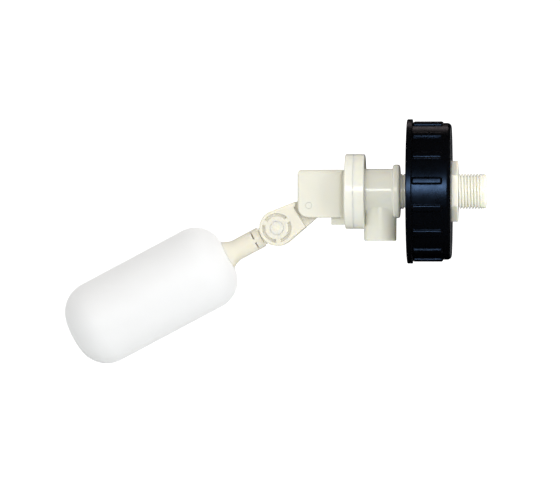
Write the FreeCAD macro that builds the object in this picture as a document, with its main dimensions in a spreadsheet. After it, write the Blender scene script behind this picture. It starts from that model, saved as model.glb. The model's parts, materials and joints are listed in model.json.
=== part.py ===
"""Float valve that hangs in a tank's screw cap: an inlet shank through the cap, a diaphragm
valve with a downward outlet, and a lever with an adjustable elbow that carries a hollow float.

Frame: millimetres, +X along the inlet shank towards its threaded end, +Z up, outlet down.
Origin: on the shank's axis, in the plane where the rim of the tank's neck meets the cap's seal.
The lever is at its lower stop with the valve open, and the elbow is set as shipped.
"""

import FreeCAD, Part
import math
import os

import Sketcher

Vector = FreeCAD.Vector

# Driving dimensions, in millimetres and degrees
DIMENSIONS = {
    # inlet shank, a G1/2 parallel pipe thread
    "thread_radius": 10.4775,
    "thread_pitch": 1.814,
    "thread_depth": 1.162,
    "thread_flat": 0.42,
    "thread_root": 0.22,
    "thread_turns": 26,
    "shank_end": 26.7,
    "shank_lead": 3.2,
    "shank_relief": 0.25,
    "shank_slope": 0.4,
    "shank_round": 1.5,
    "inlet_bore": 6.5,
    "inlet_bore_end": 4.0,
    "strainer_bore": 6.2,
    # body
    "collar_left": -29.2,
    "collar_right": -24.8,
    "collar_radius": 16.1,
    "barrel_radius": 13.5,
    "flange_radius": 22.4,
    "flange_left": -57.6,
    "flange_seam": -52.5,
    "flange_right": -45.8,
    "edge_round": 0.8,
    "chamber_radius": 11.0,
    "chamber_right": -30.0,
    "chamber_mouth": 13.2,
    "mouth_depth": 2.0,
    "mouth_slope": 2.2,
    "outlet_centre": -36.8,
    "outlet_radius": 9.7,
    "outlet_root": 9.9,
    "outlet_root_end": -23.0,
    "outlet_bore": 7.6,
    "outlet_end": -29.6,
    # seat nozzle
    "nozzle_bore": 5.0,
    "nozzle_step": -26.0,
    "nozzle_tip": -47.6,
    "nozzle_orifice": 2.4,
    "nozzle_lip": 3.4,
    "nozzle_collar_length": 5.5,
    "nozzle_cone": 3.5,
    "ring_groove": 1.6,
    "ring_groove_width": 2.0,
    "ring_groove_floor": 4.7,
    # diaphragm, pad and plunger
    "rim_radius": 16.2,
    "rim_half": 1.0,
    "membrane_left": -53.1,
    "membrane_right": -51.9,
    "pad_radius": 5.5,
    "pad_depth": 2.0,
    "pad_stud": 1.6,
    "head_radius": 8.0,
    "head_depth": 2.0,
    "head_room": 1.4,
    "pad_hold": 0.6,
    "plunger_radius": 3.0,
    "plunger_tip": -75.4,
    "running_gap": 0.06,
    # lever housing
    "housing_left": -85.9,
    "housing_right": -58.8,
    "housing_top": 13.0,
    "housing_bottom": -15.6,
    "housing_half": 10.0,
    "cheek_inside": 7.4,
    "housing_roof": 10.2,
    "cavity_right": -66.0,
    "top_corner": 2.5,
    "top_round": 3.2,
    "roof_round": 2.3,
    "bottom_corner": 7.0,
    "neck_half": 8.0,
    "neck_step": 0.1,
    "tab_depth": 4.4,
    "tab_half": 4.0,
    "pivot_across": -79.1,
    "pivot_up": -8.5,
    "pivot_radius": 2.0,
    # cover screws
    "screw_circle": 18.7,
    "screw_radius": 1.4,
    "screw_head": 2.5,
    "screw_head_depth": 1.8,
    "screw_length": 9.0,
    "screw_pilot_fit": 0.02,
    "screw_fit": 0.1,
    "screw_head_fit": 0.2,
    "screw_spare": 0.4,
    # lever, along its own axis from the elbow
    "elbow_across": -98.3,
    "elbow_up": -21.9,
    "lever_slope": 31.2,
    "disc_radius": 10.7,
    "ear_half": 8.0,
    "ear_inside": 4.7,
    "fork_clear": 11.6,
    "fork_step": 14.9,
    "brow_reach": 17.3,
    "brow_low": 5.4,
    "brow_slant": 1.0,
    "web_length": 22.4,
    "web_radius": 7.0,
    "web_half": 4.2,
    "hub_radius": 4.6,
    "hub_half": 7.1,
    "nose_radius": 3.5,
    "nose_half": 4.0,
    "nose_arm": 8.5,
    "slot_inner": 6.9,
    "slot_outer": 8.8,
    "slot_span": 100.0,
    "slot_middle": -23.3,
    "slot_depth": 1.5,
    "elbow_radius": 3.0,
    "elbow_head": 3.9,
    "elbow_head_depth": 1.0,
    # float arm, along its own axis from the elbow
    "arm_slope": 28.0,
    "tongue_radius": 10.2,
    "tongue_half": 4.4,
    "stem_neck": 5.25,
    "stem_step": 11.1,
    "stem_radius": 6.3,
    "flare_start": 28.5,
    "flare_end": 34.2,
    "flare_radius": 8.65,
    "notch_place": 15.0,
    "notch_width": 0.9,
    "notch_depth": 4.3,
    "notch_bar_left": -0.6,
    "notch_bar_right": 1.7,
    "plug_radius": 7.4,
    "plug_end": 46.0,
    "float_length": 105.0,
    "float_radius": 25.8,
    "float_corner": 19.0,
    "float_wall": 1.8,
    "socket_radius": 7.5,
    "socket_wall": 1.8,
    # tank cap and its seals
    "cap_open": -20.6,
    "cap_face": 6.0,
    "cap_inside": 2.4,
    "cap_radius": 40.9,
    "cap_bore": 37.5,
    "cap_thread": 35.9,
    "cap_thread_first": -4.2,
    "cap_thread_pitch": 6.0,
    "cap_thread_turns": 3,
    "cap_thread_base": 3.0,
    "cap_thread_crest": 1.6,
    "cap_hole": 10.7,
    "cap_round": 2.6,
    "lip_radius": 43.2,
    "lip_width": 3.3,
    "rib_radius": 42.3,
    "rib_width": 4.4,
    "rib_right": 1.2,
    "rib_nose": 1.0,
    "rib_count": 16,
    "rib_turn": 7.7,
    "seal_inner": 30.0,
    "seal_outer": 37.2,
    "gasket_radius": 17.5,
    # lock nuts
    "nut_radius": 18.45,
    "nut_thick": 4.0,
    "nut_thread_first": 1.4,
    "nut_back_turns": 6,
    "thread_gap": 0.12,
    # strainer
    "strainer_left": -18.0,
    "strainer_right": 3.0,
    "strainer_collar": 2.0,
    "strainer_tube": 4.6,
    "strainer_wall": 0.9,
    "strainer_slit": 0.8,
}

doc = FreeCAD.newDocument("FloatValve")
sheet = doc.addObject("Spreadsheet::Sheet", "Dimensions")
for row, (alias, number) in enumerate(DIMENSIONS.items(), start=1):
    sheet.set(f"A{row}", alias)
    sheet.set(f"B{row}", str(number))
    sheet.setAlias(f"B{row}", alias)
doc.recompute()


class Size:
    """A length that carries both its value and the spreadsheet expression it comes from."""

    def __init__(self, value, text):
        self.value = value
        self.text = text

    def __add__(self, other):
        other = as_size(other)
        return Size(self.value + other.value, f"({self.text} + {other.text})")

    def __sub__(self, other):
        other = as_size(other)
        return Size(self.value - other.value, f"({self.text} - {other.text})")

    def __mul__(self, other):
        other = as_size(other)
        return Size(self.value * other.value, f"({self.text} * {other.text})")

    def __truediv__(self, other):
        other = as_size(other)
        return Size(self.value / other.value, f"({self.text} / {other.text})")

    def __neg__(self):
        return Size(-self.value, f"(-({self.text}))")


def as_size(number):
    """A plain number, such as a zero or a factor, as a Size."""
    if isinstance(number, Size):
        return number
    return Size(float(number), repr(float(number)))


def dim(alias):
    """The named cell of the sheet."""
    return Size(float(sheet.get(alias)), f"{sheet.Name}.{alias}")


def cosine(angle):
    return Size(math.cos(math.radians(angle.value)), f"cos({angle.text} * 1 deg)")


def sine(angle):
    return Size(math.sin(math.radians(angle.value)), f"sin({angle.text} * 1 deg)")


def bind(thing, name, size):
    """Sets one property of a feature and ties it to the sheet."""
    size = as_size(size)
    whole = name == "Occurrences"
    setattr(thing, name, round(size.value) if whole else size.value)
    thing.setExpression(name, size.text)


# Sketches and features


def new_body(label):
    body = doc.addObject("PartDesign::Body", label)
    body.Label = label
    return body


def origin_part(body, role):
    return next(part for part in body.Origin.OriginFeatures if part.Role == role)


def new_sketch(body, name, plane, raised=None):
    """A sketch on one of the body's own planes, raised along the plane's normal if asked."""
    sketch = body.newObject("Sketcher::SketchObject", name)
    sketch.AttachmentSupport = [(origin_part(body, plane), "")]
    sketch.MapMode = "FlatFace"
    if raised is not None:
        sketch.AttachmentOffset.Base.z = raised.value
        sketch.setExpression("AttachmentOffset.Base.z", raised.text)
    return sketch


def pin_point(sketch, geometry, place, across, up):
    """Ties one point of the sketch to its two coordinates in the sheet."""
    for kind, size, axis in (("DistanceX", across, -2), ("DistanceY", up, -1)):
        if abs(size.value) < 1e-9:
            sketch.addConstraint(Sketcher.Constraint("PointOnObject", geometry, place, axis))
        elif size.value > 0:
            rule = Sketcher.Constraint(kind, -1, 1, geometry, place, size.value)
            sketch.setExpression(f"Constraints[{sketch.addConstraint(rule)}]", size.text)
        else:
            rule = Sketcher.Constraint(kind, geometry, place, -1, 1, -size.value)
            sketch.setExpression(f"Constraints[{sketch.addConstraint(rule)}]", (-size).text)


def unit_step(start, end):
    """The direction from one (across, up) point to another, as a pair of plain numbers."""
    across, up = end[0].value - start[0].value, end[1].value - start[1].value
    length = math.hypot(across, up)
    return round(across / length, 9), round(up / length, 9)


def polygon(sketch, points):
    """A closed outline through (across, up) points, each tied to the sheet.

    A third value on a point rounds that corner, where two sides meet at a right angle and lie
    along the axes.
    """
    points = [tuple(as_size(value) for value in point) for point in points]
    stops = []
    for index, point in enumerate(points):
        if len(point) == 2:
            stops.append((point, None))
            continue
        corner, radius = point[:2], point[2]
        for neighbour in (points[index - 1], points[(index + 1) % len(points)]):
            across, up = unit_step(corner, neighbour)
            stop = (corner[0] + radius * across, corner[1] + radius * up)
            entering = neighbour is points[index - 1]
            stops.append((stop, radius if entering else None))
    first = sketch.GeometryCount
    corners = [Vector(stop[0].value, stop[1].value, 0) for stop, radius in stops]
    ends = []
    for index, (stop, radius) in enumerate(stops):
        start, end = corners[index], corners[(index + 1) % len(stops)]
        if radius is None:
            sketch.addGeometry(Part.LineSegment(start, end), False)
            ends.append((1, 2))
            continue
        before = (start - corners[index - 1]).normalize()
        side = 1 if before.cross(end - start).z > 0 else -1
        centre = start + Vector(-before.y, before.x, 0) * side * radius.value
        sweep = [math.atan2(spot.y - centre.y, spot.x - centre.x) for spot in (start, end)]
        low, high = sweep if side > 0 else reversed(sweep)
        if high < low:
            high += 2 * math.pi
        whole = Part.Circle(centre, Vector(0, 0, 1), radius.value)
        arc = sketch.addGeometry(Part.ArcOfCircle(whole, low, high), False)
        rule = sketch.addConstraint(Sketcher.Constraint("Radius", arc, radius.value))
        sketch.setExpression(f"Constraints[{rule}]", radius.text)
        ends.append((1, 2) if side > 0 else (2, 1))
    for index, (stop, radius) in enumerate(stops):
        following = (index + 1) % len(stops)
        here, there = ends[index][1], ends[following][0]
        meet = Sketcher.Constraint("Coincident", first + index, here, first + following, there)
        sketch.addConstraint(meet)
        pin_point(sketch, first + index, ends[index][0], stop[0], stop[1])


def rectangle(sketch, left, right, bottom, top):
    polygon(sketch, [(left, bottom), (right, bottom), (right, top), (left, top)])


def circle(sketch, across, up, radius):
    across, up, radius = as_size(across), as_size(up), as_size(radius)
    centre = Vector(across.value, up.value, 0)
    added = sketch.addGeometry(Part.Circle(centre, Vector(0, 0, 1), radius.value), False)
    rule = sketch.addConstraint(Sketcher.Constraint("Radius", added, radius.value))
    sketch.setExpression(f"Constraints[{rule}]", radius.text)
    pin_point(sketch, added, 3, across, up)


def arc_slot(sketch, inner, outer, start, span):
    """A slot between two circles about the origin, from start degrees over span degrees."""
    first = sketch.GeometryCount
    ends = []
    for angle in (start, start + span):
        ends.append((cosine(angle), sine(angle)))
    begin, stop = math.radians(start.value), math.radians((start + span).value)
    for radius in (outer, inner):
        round_edge = Part.Circle(Vector(0, 0, 0), Vector(0, 0, 1), radius.value)
        sketch.addGeometry(Part.ArcOfCircle(round_edge, begin, stop), False)
    for across, up in ends:
        inside = Vector(across.value, up.value, 0) * inner.value
        outside = Vector(across.value, up.value, 0) * outer.value
        sketch.addGeometry(Part.LineSegment(outside, inside), False)
    for arc, radius in ((first, outer), (first + 1, inner)):
        sketch.addConstraint(Sketcher.Constraint("Coincident", arc, 3, -1, 1))
        rule = sketch.addConstraint(Sketcher.Constraint("Radius", arc, radius.value))
        sketch.setExpression(f"Constraints[{rule}]", radius.text)
    for line, place in ((first + 2, 1), (first + 3, 2)):
        sketch.addConstraint(Sketcher.Constraint("Coincident", line, 1, first, place))
        sketch.addConstraint(Sketcher.Constraint("Coincident", line, 2, first + 1, place))
    for place, (across, up) in zip((1, 2), ends):
        sign = 1 if across.value > 0 else -1
        order = (-1, 1, first, place) if sign > 0 else (first, place, -1, 1)
        rule = Sketcher.Constraint("DistanceX", *order, sign * across.value * outer.value)
        text = (across * outer * sign).text
        sketch.setExpression(f"Constraints[{sketch.addConstraint(rule)}]", text)


def finish_feature(body, feature, sign):
    """Recomputes, and makes sure that the feature added or took away material as meant."""
    base = getattr(feature, "Originals", None) or [feature.BaseFeature]
    before = base[0].Shape.Volume if base[0] else 0.0
    doc.recompute()
    change = feature.Shape.Volume - before
    if change * sign <= 1e-6:
        raise RuntimeError(f"{body.Label}: {feature.Name} changed the volume by {change:.4f} mm3")
    return feature


def revolve(body, name, points, cut=False):
    """Turns an outline of (along, radius) points about the body's X axis."""
    sketch = new_sketch(body, name + "_sketch", "XZ_Plane")
    polygon(sketch, points)
    kind = "PartDesign::Groove" if cut else "PartDesign::Revolution"
    feature = body.newObject(kind, name)
    feature.Profile = (sketch, [""])
    feature.ReferenceAxis = (sketch, ["H_Axis"])
    feature.Angle = 360
    sketch.Visibility = False
    return finish_feature(body, feature, -1 if cut else 1)


def pad(body, name, sketch, length, symmetric=False, reverse=False):
    feature = body.newObject("PartDesign::Pad", name)
    feature.Profile = (sketch, [""])
    bind(feature, "Length", length)
    feature.SideType = "Symmetric" if symmetric else "One side"
    feature.Reversed = reverse
    return finish_feature(body, feature, 1)


def pocket(body, name, sketch, length=None, symmetric=False, reverse=False):
    """A pocket of the given depth, or through everything when no length is given."""
    feature = body.newObject("PartDesign::Pocket", name)
    feature.Profile = (sketch, [""])
    feature.SideType = "Symmetric" if symmetric else "One side"
    feature.Reversed = reverse
    if length is None:
        feature.Type = "ThroughAll"
    else:
        bind(feature, "Length", length)
    return finish_feature(body, feature, -1)


def turn_pattern(body, name, feature, axis_role, count, sign):
    """Repeats a feature evenly about one of the body's axes."""
    pattern = body.newObject("PartDesign::PolarPattern", name)
    pattern.Originals = [feature]
    pattern.Axis = (origin_part(body, axis_role), [""])
    pattern.Angle = 360
    bind(pattern, "Occurrences", count)
    body.Tip = pattern
    return finish_feature(body, pattern, sign)


def row_pattern(body, name, feature, pitch, count, sign):
    """Repeats a feature along the body's X axis."""
    pattern = body.newObject("PartDesign::LinearPattern", name)
    pattern.Originals = [feature]
    pattern.Direction = (origin_part(body, "X_Axis"), [""])
    pattern.Mode = "Extent"
    bind(pattern, "Length", pitch * (count - 1))
    bind(pattern, "Occurrences", count)
    body.Tip = pattern
    return finish_feature(body, pattern, sign)


def edges(shape, wanted):
    """Names of the shape's edges for which wanted(edge) is true."""
    return [f"Edge{number}" for number, edge in enumerate(shape.Edges, start=1) if wanted(edge)]


def round_edge_at(across, radius):
    """Picks full or part circles about the X axis, at this place and radius."""

    def wanted(edge):
        curve = edge.Curve
        if not isinstance(curve, Part.Circle):
            return False
        same_place = abs(curve.Center.x - across.value) < 0.01
        return same_place and abs(curve.Radius - radius.value) < 0.01

    return wanted


def straight_edge_at(direction, **near):
    """Picks straight edges along a direction, whose middle has the given x, y or z."""

    def wanted(edge):
        if not isinstance(edge.Curve, Part.Line):
            return False
        along = abs(edge.Curve.Direction.dot(direction)) > 0.999
        middle = edge.CenterOfMass
        return along and all(abs(getattr(middle, key) - value) < 0.05 for key, value in near.items())

    return wanted


def dress(body, kind, name, size, *tests):
    """Rounds or chamfers, kind Fillet or Chamfer, the edges that any of the tests picks."""
    base = body.Tip
    names = edges(base.Shape, lambda edge: any(test(edge) for test in tests))
    if not names:
        raise RuntimeError(f"{body.Label}: {name} found no edge")
    feature = body.newObject(f"PartDesign::{kind}", name)
    feature.Base = (base, names)
    bind(feature, "Radius" if kind == "Fillet" else "Size", size)
    doc.recompute()
    return feature


def place(body, across, up, turn=None):
    """Puts a body's own origin at a point of the XZ plane, turned about Y by a bound angle."""
    body.Placement = FreeCAD.Placement(
        Vector(across.value, 0, up.value),
        FreeCAD.Rotation(Vector(0, 1, 0), turn.value if turn else 0),
    )
    body.setExpression("Placement.Base.x", across.text)
    body.setExpression("Placement.Base.z", up.text)
    if turn:
        body.setExpression("Placement.Rotation.Angle", turn.text)


# Values that several pieces share

pitch = dim("thread_pitch")
major = dim("thread_radius")
minor = major - dim("thread_depth")
groove_top = pitch - dim("thread_flat")
gap = dim("running_gap")
screw_offset = dim("screw_circle") * cosine(as_size(45))
grid_start = dim("cap_face") + dim("nut_thread_first")
pivot_x = dim("pivot_across")
pivot_z = dim("pivot_up")
MIRRORED = (1, -1)


def make_valve_body():
    """Threaded shank, collar, barrel, outlet spigot and half of the flange, in one moulding."""
    body = new_body("valve_body")
    seam, flange_right = dim("flange_seam"), dim("flange_right")
    collar_left, collar_right = dim("collar_left"), dim("collar_right")
    end = dim("shank_end")
    lead = end - dim("shank_lead")
    lead_radius = major - dim("shank_relief")
    revolve(body, "outside", [
        (seam, 0), (seam, dim("flange_radius")), (flange_right, dim("flange_radius")),
        (flange_right, dim("barrel_radius")), (collar_left, dim("barrel_radius")),
        (collar_left, dim("collar_radius")), (collar_right, dim("collar_radius")),
        (collar_right, major), (lead, major),
        (lead + dim("shank_slope"), lead_radius), (end, lead_radius), (end, 0),
    ])
    spigot = new_sketch(body, "spigot_sketch", "XY_Plane", raised=dim("outlet_end"))
    circle(spigot, dim("outlet_centre"), 0, dim("outlet_radius"))
    pad(body, "spigot", spigot, -dim("outlet_end") - dim("chamber_radius"))
    root = new_sketch(body, "spigot_root_sketch", "XY_Plane", raised=dim("outlet_root_end"))
    circle(root, dim("outlet_centre"), 0, dim("outlet_root"))
    pad(body, "spigot_root", root, -dim("outlet_root_end") - dim("chamber_radius"))
    rim_floor = seam + dim("rim_half")
    mouth_floor = rim_floor + dim("mouth_depth")
    chamber = dim("chamber_radius")
    revolve(body, "waterway", [
        (seam, 0), (seam, dim("rim_radius")), (rim_floor, dim("rim_radius")),
        (rim_floor, dim("chamber_mouth")), (mouth_floor, dim("chamber_mouth")),
        (mouth_floor + dim("mouth_slope"), chamber), (dim("chamber_right"), chamber),
        (dim("chamber_right"), dim("nozzle_bore")), (dim("nozzle_step"), dim("nozzle_bore")),
        (dim("nozzle_step"), dim("strainer_bore")), (dim("inlet_bore_end"), dim("strainer_bore")),
        (dim("inlet_bore_end"), dim("inlet_bore")), (end, dim("inlet_bore")), (end, 0),
    ], cut=True)
    outlet = new_sketch(body, "outlet_sketch", "XY_Plane", raised=dim("outlet_end"))
    circle(outlet, dim("outlet_centre"), 0, dim("outlet_bore"))
    pocket(body, "outlet", outlet, -dim("outlet_end") - dim("chamber_radius") + 4, reverse=True)
    screw_hole = new_sketch(body, "screw_hole_sketch", "YZ_Plane", raised=seam)
    circle(screw_hole, screw_offset, screw_offset, dim("screw_radius") + dim("screw_pilot_fit"))
    screw_end = dim("flange_left") + dim("screw_length") + dim("screw_head_depth")
    hole_depth = screw_end - seam + dim("screw_spare")
    hole = pocket(body, "screw_hole", screw_hole, hole_depth, reverse=True)
    turn_pattern(body, "screw_holes", hole, "X_Axis", as_size(4), -1)
    dress(body, "Fillet", "flange_edge", dim("edge_round"),
          round_edge_at(flange_right, dim("flange_radius")))
    dress(body, "Fillet", "collar_edges", dim("edge_round") * 1.25,
          round_edge_at(collar_left, dim("collar_radius")),
          round_edge_at(collar_right, dim("collar_radius")))
    dress(body, "Fillet", "shank_edge", dim("shank_round"), round_edge_at(end, lead_radius))

    def spigot_rim(edge):
        if not isinstance(edge.Curve, Part.Circle):
            return False
        at_end = abs(edge.CenterOfMass.z - DIMENSIONS["outlet_end"]) < 0.01
        return at_end and abs(edge.Curve.Radius - DIMENSIONS["outlet_radius"]) < 0.01

    dress(body, "Fillet", "spigot_edge", dim("edge_round"), spigot_rim)
    first = grid_start - pitch * 17
    groove = revolve(body, "thread_groove", [
        (first - groove_top / 2, major + 0.05), (first - dim("thread_root") / 2, minor),
        (first + dim("thread_root") / 2, minor), (first + groove_top / 2, major + 0.05),
    ], cut=True)
    row_pattern(body, "thread", groove, pitch, dim("thread_turns"), -1)
    return body


def make_lever_housing():
    """Other half of the flange, with the two cheeks that carry the lever."""
    body = new_body("lever_housing")
    left, seam = dim("flange_left"), dim("flange_seam")
    rim_floor = seam - dim("rim_half")
    revolve(body, "flange", [
        (left, 0), (left, dim("flange_radius")), (seam, dim("flange_radius")), (seam, 0),
    ])
    cheeks = new_sketch(body, "cheeks_sketch", "XZ_Plane")
    rectangle(cheeks, dim("housing_left"), dim("housing_right"),
              dim("housing_bottom"), dim("housing_top"))
    pad(body, "cheeks", cheeks, dim("housing_half") * 2, symmetric=True)
    across_y, along_x, along_z = Vector(0, 1, 0), Vector(1, 0, 0), Vector(0, 0, 1)
    box_left, box_top = DIMENSIONS["housing_left"], DIMENSIONS["housing_top"]
    box_right, box_bottom = DIMENSIONS["housing_right"], DIMENSIONS["housing_bottom"]
    dress(body, "Fillet", "lower_corner", dim("bottom_corner"),
          straight_edge_at(across_y, x=box_left, z=box_bottom))
    dress(body, "Fillet", "upper_corner", dim("top_corner"),
          straight_edge_at(across_y, x=box_left, z=box_top))
    half = DIMENSIONS["housing_half"]
    dress(body, "Fillet", "side_ends", dim("top_round"),
          straight_edge_at(along_z, x=box_right, y=half),
          straight_edge_at(along_z, x=box_right, y=-half))
    dress(body, "Fillet", "upper_sides", dim("roof_round"),
          straight_edge_at(along_x, y=half, z=box_top),
          straight_edge_at(along_x, y=-half, z=box_top))
    neck = new_sketch(body, "neck_sketch", "XZ_Plane")
    step = dim("neck_step")
    rectangle(neck, dim("housing_right") - 1, left + 1,
              dim("housing_bottom") + step, dim("housing_top") - step)
    pad(body, "neck", neck, dim("neck_half") * 2, symmetric=True)
    tab = new_sketch(body, "tab_sketch", "XZ_Plane")
    rectangle(tab, dim("cavity_right"), left + 1, dim("housing_bottom") - dim("tab_depth"),
              dim("housing_bottom") + 1)
    pad(body, "tab", tab, dim("tab_half") * 2, symmetric=True)
    cavity = new_sketch(body, "cavity_sketch", "XZ_Plane")
    rectangle(cavity, dim("housing_left") - 2, dim("cavity_right"),
              dim("housing_bottom") - 6, dim("housing_roof"))
    pocket(body, "cavity", cavity, dim("cheek_inside") * 2, symmetric=True)
    pivot = new_sketch(body, "pivot_sketch", "XZ_Plane")
    circle(pivot, pivot_x, pivot_z, dim("pivot_radius"))
    pocket(body, "pivot_holes", pivot, dim("housing_half") * 2 + 4, symmetric=True)
    head_floor = dim("membrane_left") - dim("head_depth") - dim("head_room")
    guide = dim("plunger_radius") + gap
    revolve(body, "plunger_way", [
        (seam, 0), (seam, dim("rim_radius")), (rim_floor, dim("rim_radius")),
        (rim_floor, dim("chamber_mouth")), (head_floor, dim("chamber_mouth")),
        (head_floor, guide), (dim("cavity_right") - 1, guide), (dim("cavity_right") - 1, 0),
    ], cut=True)
    screw = new_sketch(body, "screw_sketch", "YZ_Plane", raised=left)
    circle(screw, screw_offset, screw_offset, dim("screw_radius") + dim("screw_fit"))
    clearance = pocket(body, "screw_clearance", screw, seam - left, reverse=True)
    turn_pattern(body, "screw_clearances", clearance, "X_Axis", as_size(4), -1)
    sink = new_sketch(body, "sink_sketch", "YZ_Plane", raised=left)
    head_fit = dim("screw_head_fit")
    circle(sink, screw_offset, screw_offset, dim("screw_head") + head_fit)
    counterbore = pocket(body, "counterbore", sink, dim("screw_head_depth") + head_fit, reverse=True)
    turn_pattern(body, "counterbores", counterbore, "X_Axis", as_size(4), -1)
    dress(body, "Fillet", "flange_edge", dim("edge_round"), round_edge_at(left, dim("flange_radius")))
    return body


def ring_piece(label, outline):
    """A plain turned piece about the X axis."""
    body = new_body(label)
    revolve(body, "turned", outline)
    return body


def tube_outline(left, right, inner, outer):
    return [(left, inner), (right, inner), (right, outer), (left, outer)]


def make_seat_nozzle():
    step, tip = dim("nozzle_step"), dim("nozzle_tip")
    bore, orifice = dim("nozzle_bore") - gap, dim("nozzle_orifice")
    collar = dim("strainer_bore") - 0.1
    collar_end = step + dim("nozzle_collar_length")
    groove = step + dim("ring_groove")
    groove_end = groove + dim("ring_groove_width")
    groove_floor = dim("ring_groove_floor")
    return ring_piece("seat_nozzle", [
        (tip, orifice), (tip, dim("nozzle_lip")), (tip + dim("nozzle_cone"), bore),
        (step, bore), (step, collar),
        (groove, collar), (groove, groove_floor), (groove_end, groove_floor),
        (groove_end, collar), (collar_end, collar), (collar_end, bore * 0.8),
        (step - 3, orifice),
    ])


def make_torus(label, across, ring, cord):
    """An O-ring about the X axis."""
    torus = doc.addObject("Part::Torus", label)
    torus.Label = label
    bind(torus, "Radius1", ring)
    bind(torus, "Radius2", cord)
    torus.Placement = FreeCAD.Placement(
        Vector(across.value, 0, 0), FreeCAD.Rotation(Vector(0, 1, 0), 90)
    )
    torus.setExpression("Placement.Base.x", across.text)
    return torus


def make_diaphragm():
    """Membrane with a thick rim that the two flange halves clamp."""
    seam, rim = dim("flange_seam"), dim("rim_half")
    mouth = dim("chamber_mouth")
    hole = dim("pad_stud") + 0.1
    left, right = dim("membrane_left"), dim("membrane_right")
    return ring_piece("diaphragm", [
        (left, hole), (left, mouth), (seam - rim, mouth + 0.2), (seam - rim, dim("rim_radius")),
        (seam + rim, dim("rim_radius")), (seam + rim, mouth + 0.2), (right, mouth), (right, hole),
    ])


def make_seal_pad():
    left, right = dim("membrane_left"), dim("membrane_right")
    face = right + dim("pad_depth")
    stud_end = left - dim("head_depth") + dim("pad_hold")
    radius = dim("pad_radius")
    return ring_piece("seal_pad", [
        (stud_end, 0), (stud_end, dim("pad_stud")), (right, dim("pad_stud")),
        (right, radius), (face - 0.5, radius), (face, radius - 0.5), (face, 0),
    ])


def make_plunger():
    head_right = dim("membrane_left")
    head_left = head_right - dim("head_depth")
    tip, rod = dim("plunger_tip"), dim("plunger_radius")
    socket = dim("pad_stud")
    socket_floor = head_left + dim("pad_hold")
    return ring_piece("plunger", [
        (tip, 0), (tip, rod - 0.8), (tip + 0.8, rod), (head_left, rod),
        (head_left, dim("head_radius")), (head_right, dim("head_radius")), (head_right, socket),
        (socket_floor, socket), (socket_floor, 0),
    ])


def make_strainer():
    """Thimble with slots along it, open towards the inlet."""
    left, right = dim("strainer_left"), dim("strainer_right")
    tube, wall = dim("strainer_tube"), dim("strainer_wall")
    collar = dim("strainer_bore") - 0.05
    collar_left = right - dim("strainer_collar")
    body = ring_piece("inlet_strainer", [
        (left, 0), (left, tube - 1), (left + 1, tube), (collar_left, tube), (collar_left, collar),
        (right, collar), (right, tube - wall), (left + wall * 2, tube - wall), (left + wall * 2, 0),
    ])
    slit = new_sketch(body, "slit_sketch", "XZ_Plane")
    half_slit = dim("strainer_slit") / 2
    rectangle(slit, left + wall * 3, collar_left - 1.5, -half_slit, half_slit)
    cut = pocket(body, "slit", slit, tube * 2 + 1, symmetric=True)
    turn_pattern(body, "slits", cut, "X_Axis", as_size(10), -1)
    return body


def make_tank_cap():
    """Screw cap with sixteen grip ribs, a lip at its open end and a coarse inside thread."""
    body = new_body("tank_cap")
    opening, face, inside = dim("cap_open"), dim("cap_face"), dim("cap_inside")
    lip_right = opening + dim("lip_width")
    bore, skirt = dim("cap_bore"), dim("cap_radius")
    revolve(body, "shell", [
        (opening, bore + 0.8), (opening, dim("lip_radius")), (lip_right, dim("lip_radius")),
        (lip_right, skirt), (face, skirt), (face, dim("cap_hole")), (inside, dim("cap_hole")),
        (inside, bore), (opening + 0.8, bore),
    ])
    base, crest = dim("cap_thread_base"), dim("cap_thread_crest")
    first = dim("cap_thread_first") - dim("cap_thread_pitch") * (dim("cap_thread_turns") - 1)
    ridge = revolve(body, "thread_ridge", [
        (first - base / 2, bore + 0.3), (first - crest / 2, dim("cap_thread")),
        (first + crest / 2, dim("cap_thread")), (first + base / 2, bore + 0.3),
    ])
    row_pattern(body, "cap_thread", ridge, dim("cap_thread_pitch"), dim("cap_thread_turns"), 1)
    dress(body, "Fillet", "end_edge", dim("cap_round"), round_edge_at(face, skirt))
    dress(body, "Fillet", "lip_edges", dim("edge_round"),
          round_edge_at(opening, dim("lip_radius")), round_edge_at(lip_right, dim("lip_radius")))
    rib = new_sketch(body, "rib_sketch", "XY_Plane", raised=skirt - 1)
    half = dim("rib_width") / 2
    right, nose = dim("rib_right"), dim("rib_nose")
    polygon(rib, [
        (lip_right - 1, -half), (right, -half, nose), (right, half, nose), (lip_right - 1, half),
    ])
    bar = pad(body, "rib", rib, dim("rib_radius") - skirt + 1)
    turn_pattern(body, "ribs", bar, "X_Axis", dim("rib_count"), 1)
    body.Placement = FreeCAD.Placement(
        Vector(0, 0, 0), FreeCAD.Rotation(Vector(1, 0, 0), -DIMENSIONS["rib_turn"])
    )
    body.setExpression("Placement.Rotation.Angle", (-dim("rib_turn")).text)
    return body


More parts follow.
